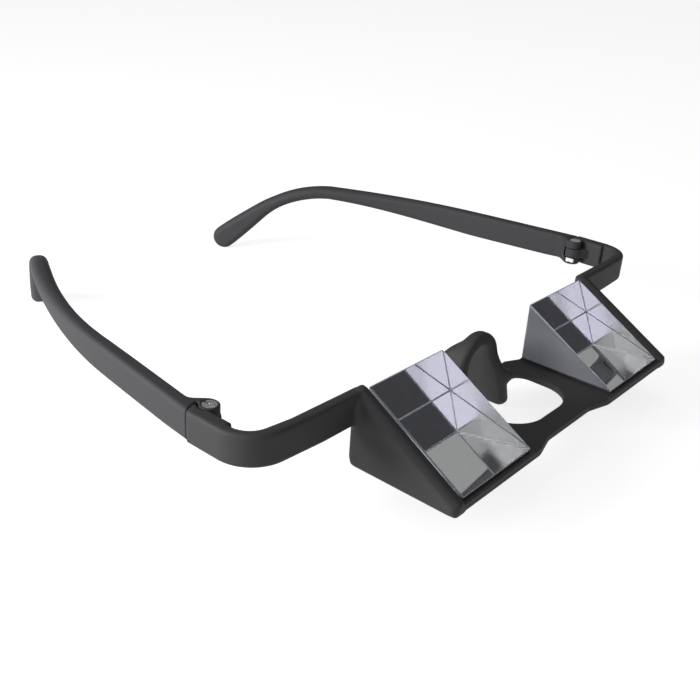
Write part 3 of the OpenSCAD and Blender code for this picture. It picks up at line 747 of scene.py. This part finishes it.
def maths(tree, operation, *values):
    """The result of an operation on its values."""
    return node(tree, "ShaderNodeMath", dict(enumerate(values)), operation=operation).outputs[0]


def grain_group():
    """Moulded grain: fine spark-eroded pits with slow variation, as a colour, a roughness and a height.
    On the rounds the colour turns to a painted highlight, and the roughness drops as on rubbed wear.
    """
    group, start, end = new_group("Moulded grain", [
        ("Position", "NodeSocketVector", None), ("Colour", "NodeSocketColor", (0.03, 0.03, 0.03, 1)),
        ("Highlight colour", "NodeSocketColor", (0.06, 0.06, 0.06, 1)),
        ("Highlight and wear", "NodeSocketFloat", 0.0), ("Roughness", "NodeSocketFloat", 0.5)],
        [("Colour", "NodeSocketColor"), ("Roughness", "NodeSocketFloat"), ("Height", "NodeSocketFloat")])
    fine = noise(group, start.outputs["Position"], scale=5200.0, detail=2.0, roughness=0.6)
    slow = noise(group, start.outputs["Position"], scale=260.0, detail=3.0, roughness=0.55)
    highlight_and_wear = maths(group, "MULTIPLY", start.outputs["Highlight and wear"], spread(group, slow, 0.0, 1.0))
    # painted highlight: towards the rounds the colour turns to the lighter highlight colour
    tone = node(group, "ShaderNodeMix", {"Factor": highlight_and_wear, "A": start.outputs["Colour"],
                                         "B": start.outputs["Highlight colour"]}, data_type="RGBA")
    speck = spread(group, fine, 0.82, 1.18)
    spotted = node(group, "ShaderNodeVectorMath", {0: tone.outputs["Result"], 3: speck},
                   operation="SCALE")
    uneven = spread(group, slow, 0.04, -0.04)
    rubbed_gloss = -0.14
    wear_and_sheen = maths(group, "MULTIPLY_ADD", highlight_and_wear, rubbed_gloss, uneven)
    group.links.new(spotted.outputs[0], end.inputs["Colour"])
    group.links.new(maths(group, "ADD", start.outputs["Roughness"], wear_and_sheen), end.inputs["Roughness"])
    group.links.new(fine, end.inputs["Height"])
    return group


def new_material(name):
    """An empty node material, as (material, its tree, its Principled BSDF)."""
    material = bpy.data.materials.new(name)
    material.use_nodes = True
    return material, material.node_tree, material.node_tree.nodes["Principled BSDF"]


def object_place(tree):
    """Object coordinates, in metres."""
    return tree.nodes.new("ShaderNodeTexCoord").outputs["Object"]


def moulded_plastic(name, finish):
    """Satin black plastic with a fine moulded grain. Its rounds get a painted highlight, a lighter colour,
    and are smoother as if rubbed.
    """
    material, tree, shader = new_material(name)
    # painted highlight: the colour of the rounds, 2.2 times as light as the plastic's
    highlight_tone = [2.2 * c for c in finish.plastic]
    grain = node(tree, "ShaderNodeGroup", node_tree=bpy.data.node_groups["Moulded grain"])
    grain.inputs["Colour"].default_value = (*finish.plastic, 1)
    grain.inputs["Highlight colour"].default_value = (*highlight_tone, 1)
    grain.inputs["Roughness"].default_value = finish.plastic_rough
    bend = node(tree, "ShaderNodeAttribute", attribute_name="bend")
    tree.links.new(object_place(tree), grain.inputs["Position"])
    tree.links.new(bend.outputs["Fac"], grain.inputs["Highlight and wear"])
    bump = node(tree, "ShaderNodeBump", {"Strength": 0.35, "Distance": 0.03 * MM,
                                         "Height": grain.outputs["Height"]})
    tree.links.new(grain.outputs["Colour"], shader.inputs["Base Color"])
    tree.links.new(grain.outputs["Roughness"], shader.inputs["Roughness"])
    tree.links.new(bump.outputs[0], shader.inputs["Normal"])
    shader.inputs["Specular IOR Level"].default_value = finish.plastic_gloss
    return material


def polished_glass(glass):
    """Clear glass with a faint film of dust, which only changes its roughness."""
    material, tree, shader = new_material("polished_glass")
    film = noise(tree, object_place(tree), scale=90.0, detail=4.0)
    tree.links.new(ramp(tree, film, 0.5, 0.8, 0.0, 0.03), shader.inputs["Roughness"])
    shader.inputs["Base Color"].default_value = (*glass.tint, 1)
    shader.inputs["Transmission Weight"].default_value = 1
    shader.inputs["IOR"].default_value = GLASS_IOR
    return material


def ground_glass(name, tint, blur, coarse, clear):
    """Ground glass: it scatters what passes it. From inside, where light meets it at a flat angle, it
    mirrors with a blur, and towards the prism's front edge with the coarse one. The share that isn't
    clear scatters light like milk."""
    material, tree, shader = new_material(name)
    spot = object_place(tree)
    along = node(tree, "ShaderNodeSeparateXYZ", {"Vector": spot})
    blurred_to, coarse_from = DATUM.y - 5 * MM, DATUM.y - 11 * MM
    inner = ramp(tree, along.outputs["Y"], blurred_to, coarse_from, blur, coarse)
    fine = noise(tree, spot, scale=3000.0, detail=2.0)
    matt = spread(tree, noise(tree, spot, scale=120.0, detail=2.0), 0.38, 0.5)
    # seen from inside, the Fresnel share is 1 where the face mirrors all light
    fresnel = node(tree, "ShaderNodeFresnel", {"IOR": GLASS_IOR})
    least_share, full_share = 0.6, 0.98
    mirror = ramp(tree, fresnel.outputs[0], least_share, full_share, 0.0, 1.0)
    facing = tree.nodes.new("ShaderNodeNewGeometry")
    inside = maths(tree, "MULTIPLY", facing.outputs["Backfacing"], mirror)
    rough = node(tree, "ShaderNodeMix", {"Factor": inside, "A": matt, "B": inner}, data_type="FLOAT")
    bump = node(tree, "ShaderNodeBump", {"Strength": 0.2, "Distance": 0.02 * MM, "Height": fine})
    tree.links.new(rough.outputs[0], shader.inputs["Roughness"])
    tree.links.new(bump.outputs[0], shader.inputs["Normal"])
    shader.inputs["Base Color"].default_value = (*tint, 1)
    shader.inputs["Transmission Weight"].default_value = clear
    shader.inputs["IOR"].default_value = GLASS_IOR
    return material


def metal(name, base, roughness, scratches):
    """Bright metal with fine scratches in its roughness, so many a metre."""
    material, tree, shader = new_material(name)
    mark = noise(tree, object_place(tree), scale=scratches, detail=3.0)
    tree.links.new(spread(tree, mark, roughness * 0.7, roughness * 1.3), shader.inputs["Roughness"])
    shader.inputs["Base Color"].default_value = (*base, 1)
    shader.inputs["Metallic"].default_value = 1
    return material


def matt_coat(name, base, roughness):
    """A matt coat, such as paint or set adhesive, slightly uneven in tone."""
    material, tree, shader = new_material(name)
    darker = [0.7 * c for c in base]
    lighter = [min(1, 1.3 * c) for c in base]
    cloud = noise(tree, object_place(tree), scale=400.0, detail=3.0)
    tone = node(tree, "ShaderNodeMix", {"Factor": cloud, "A": (*darker, 1), "B": (*lighter, 1)},
                data_type="RGBA")
    tree.links.new(tone.outputs["Result"], shader.inputs["Base Color"])
    shader.inputs["Roughness"].default_value = roughness
    return material


def plain_cloth(name, tone):
    """Plain cloth that glows at one tone, whatever light falls on it: painted light for gloss and glass to
    show.
    """
    material, _, shader = new_material(name)
    # painted light: no lit colour, only a glow at the cloth's tone
    shader.inputs["Base Color"].default_value = (0, 0, 0, 1)
    shader.inputs["Specular IOR Level"].default_value = 0
    shader.inputs["Emission Color"].default_value = (*tone, 1)
    shader.inputs["Emission Strength"].default_value = 1
    return material


def dress(node_name, material):
    """Gives a carried-over CAD node its finish."""
    slots = frame["nodes"][node_name].data.materials
    slots.clear()
    slots.append(material)


class BELAY_OT_materials(bpy.types.Operator):
    """Makes the finishes that the pieces share."""
    bl_idname = "belay.materials"
    bl_label = "Make the finishes"

    def execute(self, context):
        finish = context.scene.belay_finish
        glass = context.scene.belay_glass
        grain_group()
        moulded_plastic("frame_plastic", finish)
        moulded_plastic("temple_plastic", finish)
        polished_glass(glass)
        ground_glass("ground_glass", glass.ground_tint, glass.side_blur, glass.side_coarse,
                     glass.side_clear)
        ground_glass("ground_edge", glass.edge_tint, glass.edge_coarse, glass.edge_coarse,
                     glass.edge_clear)
        metal("silvering", glass.silver, roughness=0.02, scratches=200.0)
        metal("plated_steel", finish.steel, finish.steel_rough, scratches=1500.0)
        matt_coat("backing_paint", finish.paint, roughness=0.6)
        matt_coat("set_adhesive", finish.adhesive, roughness=0.45)
        return {"FINISHED"}


class BELAY_OT_front(bpy.types.Operator):
    """Makes the front moulding: trays, bar, cheeks, nose saddle and arms."""
    bl_idname = "belay.front"
    bl_label = "Make the front moulding"

    def execute(self, context):
        sizes = context.scene.belay_frame
        field = front_field(sizes, context.scene.belay_saddle, context.scene.belay_hinge)
        low = np.array(FRONT_LOW - DATUM)
        high = np.array(FRONT_HIGH - DATUM)
        points, faces, bend = skin(field, low, high, sizes.grid)
        piece = add_piece("front_moulding", points, faces, [bpy.data.materials["frame_plastic"]],
                          "front", ["front_frame"])
        set_bend(piece, bend)
        return {"FINISHED"}


class BELAY_OT_temples(bpy.types.Operator):
    """Makes both temples with their knuckles."""
    bl_idname = "belay.temples"
    bl_label = "Make the temples"

    def execute(self, context):
        temple = context.scene.belay_temple
        field, low, high = temple_field(temple, context.scene.belay_frame, context.scene.belay_hinge)
        points, faces, bend = skin(field, low, high, temple.grid)
        x, y = wrap(temple, points[:, 0], points[:, 1])
        left = (np.c_[x, y, points[:, 2]], faces[:, ::-1])
        right = mirrored(*left)
        for side, (points, faces) in (("left", left), ("right", right)):
            piece = add_piece(f"{side}_temple_moulding", points, faces,
                              [bpy.data.materials["temple_plastic"]],
                              f"{side}_side", [f"{side}_temple"])
            set_bend(piece, bend)
        return {"FINISHED"}


def prism_mesh(glass):
    """A three-sided bar of glass: the outline of six lines, three faces and three ground edges, is
    carried along x, and drawn in by the chamfer at both ends. The corners are where neighbouring
    lines cross."""
    slant = np.array([-math.sin(glass.wedge), math.cos(glass.wedge)])
    under = np.array([0.0, -1.0])
    back = np.array([1.0, 0.0])
    top_cut = (glass.depth - glass.flat) * math.tan(glass.wedge)
    front_cut = PRISM_HIGH.y - PRISM_LOW.y
    lines = [(under, -glass.lift), ((under + back) / math.sqrt(2), -glass.chamfer / math.sqrt(2)),
             (back, 0), (-under, top_cut), (slant, glass.depth * math.sin(glass.wedge)),
             (-back, front_cut)]
    rings = []
    ends = [(PRISM_LOW.x, glass.chamfer), (PRISM_LOW.x + glass.chamfer, 0),
            (PRISM_HIGH.x - glass.chamfer, 0), (PRISM_HIGH.x, glass.chamfer)]
    for x, inset in ends:
        ring = []
        for (n1, d1), (n2, d2) in zip(lines, lines[1:] + lines[:1]):
            ring.append([x, *np.linalg.solve(np.array([n1, n2]), [d1 - inset, d2 - inset])])
        rings.append(ring)
    number = np.arange(len(rings) * len(lines)).reshape(len(rings), len(lines))
    after = np.roll(number, -1, axis=1)
    faces = np.stack([number[:-1], after[:-1], after[1:], number[1:]], -1).reshape(-1, 4).tolist()
    return np.vstack(rings), faces + [number[0, ::-1].tolist(), number[-1].tolist()]


class BELAY_OT_prisms(bpy.types.Operator):
    """Makes both prisms, each with polished, ground and silvered faces, on their backings and bonds."""
    bl_idname = "belay.prisms"
    bl_label = "Make the prisms"

    def execute(self, context):
        points, faces = prism_mesh(context.scene.belay_glass)
        names = ("polished_glass", "ground_glass", "silvering", "ground_edge")
        materials = [bpy.data.materials[n] for n in names]
        polished, ground, silvered, edge = range(4)
        # ring points run from each line's crossing with the next one, so a face follows its line by one
        index = [edge] * 6 + [edge, polished, edge, polished, edge, silvered] + [edge] * 6 + [ground] * 2
        for side, (p, f) in (("left", (points, faces)), ("right", mirrored(points, faces))):
            add_piece(f"{side}_glass", p, f, materials, "front",
                      [f"{side}_prism"], index, smooth_angle=5)
            dress(f"{side}_mirror_backing", bpy.data.materials["backing_paint"])
            dress(f"{side}_prism_bond", bpy.data.materials["set_adhesive"])
        return {"FINISHED"}


class BELAY_OT_fasteners(bpy.types.Operator):
    """Finishes the hinge screws and their nuts."""
    bl_idname = "belay.fasteners"
    bl_label = "Finish the screws and nuts"

    def execute(self, context):
        for side in ("left", "right"):
            dress(f"{side}_hinge_screw", bpy.data.materials["plated_steel"])
            dress(f"{side}_hinge_nut", bpy.data.materials["plated_steel"])
        return {"FINISHED"}


def seen_directly(tree):
    """1 for the rays of the camera, of glass and of gloss, and 0 for those that light the object."""
    path = tree.nodes.new("ShaderNodeLightPath")
    both = maths(tree, "MAXIMUM", path.outputs["Is Camera Ray"], path.outputs["Is Transmission Ray"])
    return maths(tree, "MAXIMUM", both, path.outputs["Is Glossy Ray"])


def direction(turn, rise):
    """Unit vector towards a turn round the object, from -Y towards +X, and a rise above level."""
    return Vector((math.sin(turn) * math.cos(rise), -math.cos(turn) * math.cos(rise), math.sin(rise)))


def add_floor(stage, tint):
    """A pale floor. It glows for the rays that don't light the object, and keeps the object's shadow."""
    material, tree, shader = new_material("studio_floor")
    shader.inputs["Base Color"].default_value = (*tint, 1)
    shader.inputs["Roughness"].default_value = 0.9
    shader.inputs["Specular IOR Level"].default_value = 0
    shader.inputs["Emission Color"].default_value = (1, 1, 1, 1)
    tree.links.new(maths(tree, "MULTIPLY", seen_directly(tree), stage.floor_glow),
                   shader.inputs["Emission Strength"])
    half = stage.floor_half
    mesh = bpy.data.meshes.new("studio_floor")
    mesh.from_pydata([(-half, -half, 0), (half, -half, 0), (half, half, 0), (-half, half, 0)], [],
                     [(0, 1, 2, 3)])
    mesh.materials.append(material)
    floor = bpy.data.objects.new("studio_floor", mesh)
    bpy.context.scene.collection.objects.link(floor)


def add_world(stage):
    """A white world, which lights the object at the fill's strength."""
    world = bpy.data.worlds.new("studio")
    world.use_nodes = True
    tree = world.node_tree
    back = tree.nodes["Background"]
    back.inputs["Color"].default_value = (1, 1, 1, 1)
    tree.links.new(ramp(tree, seen_directly(tree), 0.0, 1.0, stage.fill, 1.0),
                   back.inputs["Strength"])
    bpy.context.scene.world = world


def add_cloth(name, material, radius, turns, rises, seen_by_glass):
    """A cloth hung round the set, as a part of a sphere: its points are directions at equal steps of
    turn and rise, times the radius. Gloss sees it, and glass if it is to, but it neither lights the
    object nor shades it."""
    turn, rise = np.meshgrid(np.radians(np.linspace(*turns, 41)), np.radians(np.linspace(*rises, 17)),
                             indexing="ij")
    points = radius * np.stack([np.sin(turn) * np.cos(rise), -np.cos(turn) * np.cos(rise),
                                np.sin(rise)], -1)
    number = np.arange(turn.size).reshape(turn.shape)
    faces = np.stack([number[:-1, :-1], number[:-1, 1:], number[1:, 1:], number[1:, :-1]], -1)
    mesh = bpy.data.meshes.new(name)
    mesh.from_pydata(points.reshape(-1, 3).tolist(), [], faces.reshape(-1, 4).tolist())
    mesh.materials.append(material)
    cloth = bpy.data.objects.new(name, mesh)
    cloth.visible_camera = False
    cloth.visible_diffuse = False
    cloth.visible_shadow = False
    cloth.visible_transmission = seen_by_glass
    bpy.context.scene.collection.objects.link(cloth)


def add_lamp(name, spot, target, side, watts, tint=(1, 1, 1)):
    """A square area lamp at a spot, turned to a target. The camera and glass don't see it."""
    lamp = bpy.data.lights.new(name, "AREA")
    lamp.shape = "SQUARE"
    lamp.size = side
    lamp.energy = watts
    lamp.color = tint
    piece = bpy.data.objects.new(name, lamp)
    piece.location = spot
    piece.rotation_euler = (target - spot).to_track_quat("-Z", "Y").to_euler()
    piece.visible_camera = False
    piece.visible_transmission = False
    bpy.context.scene.collection.objects.link(piece)


def add_camera(stage):
    """The camera at the photograph's place: it looks against the direction of turn and rise, and its
    right and up vectors are turned by the roll."""
    eye = bpy.data.cameras.new("camera")
    eye.lens = stage.lens
    eye.sensor_width = 36
    eye.clip_start = 0.005
    back_way = direction(stage.turn, stage.rise)
    right = (-back_way).cross(Vector((0, 0, 1))).normalized()
    up = right.cross(-back_way)
    rolled_right = math.cos(stage.roll) * right + math.sin(stage.roll) * up
    rolled_up = -math.sin(stage.roll) * right + math.cos(stage.roll) * up
    camera = bpy.data.objects.new("camera", eye)
    camera.location = DATUM + Vector(stage.eye)
    camera.rotation_euler = Matrix((rolled_right, rolled_up, back_way)).transposed().to_euler()
    bpy.context.scene.collection.objects.link(camera)
    bpy.context.scene.camera = camera


class BELAY_OT_stage(bpy.types.Operator):
    """Makes the floor, the world, the cloths, the lamps and the camera."""
    bl_idname = "belay.stage"
    bl_label = "Set the stage"

    def execute(self, context):
        stage = context.scene.belay_stage
        context.scene.view_settings.view_transform = "Standard"
        add_floor(stage, context.scene.belay_finish.floor)
        add_world(stage)
        for name, material, tone, radius, turns, rises, seen_by_glass in CLOTHS:
            add_cloth(name, plain_cloth(material, tone), radius, turns, rises, seen_by_glass)
        target = Vector(stage.target)
        key_place = target + stage.key_away * direction(stage.key_turn, stage.key_rise)
        add_lamp("key", key_place, target, stage.key_size, stage.key_power)
        add_lamp("top", Vector(stage.top_place), target, stage.top_size, stage.top_power,
                 stage.top_tint)
        add_camera(stage)
        return {"FINISHED"}


class BELAY_PT_panel(bpy.types.Panel):
    """Lists the steps that make the glasses, and their sizes and colours."""
    bl_idname = "BELAY_PT_panel"
    bl_label = "Belay glasses"
    bl_space_type = "VIEW_3D"
    bl_region_type = "UI"
    bl_category = "Belay glasses"

    def draw(self, context):
        for operator in OPERATORS:
            self.layout.operator(operator.bl_idname)
        for name in SETTINGS:
            box = self.layout.box()
            group = getattr(context.scene, name)
            for key in group.bl_rna.properties.keys():
                if key not in ("rna_type", "name"):
                    box.prop(group, key)


SETTINGS = {"belay_glass": GlassSettings, "belay_frame": FrameSettings, "belay_saddle": SaddleSettings,
            "belay_temple": TempleSettings, "belay_hinge": HingeSettings,
            "belay_finish": FinishSettings, "belay_stage": StageSettings}
OPERATORS = (BELAY_OT_materials, BELAY_OT_stage, BELAY_OT_front, BELAY_OT_temples, BELAY_OT_prisms,
             BELAY_OT_fasteners)


def register():
    for kind in (*SETTINGS.values(), *OPERATORS, BELAY_PT_panel):
        bpy.utils.register_class(kind)
    for name, kind in SETTINGS.items():
        setattr(bpy.types.Scene, name, PointerProperty(type=kind))


def unregister():
    for name in SETTINGS:
        delattr(bpy.types.Scene, name)
    for kind in reversed((*SETTINGS.values(), *OPERATORS, BELAY_PT_panel)):
        bpy.utils.unregister_class(kind)


def main():
    """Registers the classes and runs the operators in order."""
    register()
    bpy.ops.belay.materials()
    bpy.ops.belay.stage()
    bpy.ops.belay.front()
    bpy.ops.belay.temples()
    bpy.ops.belay.prisms()
    bpy.ops.belay.fasteners()


if __name__ == "__main__":
    main()
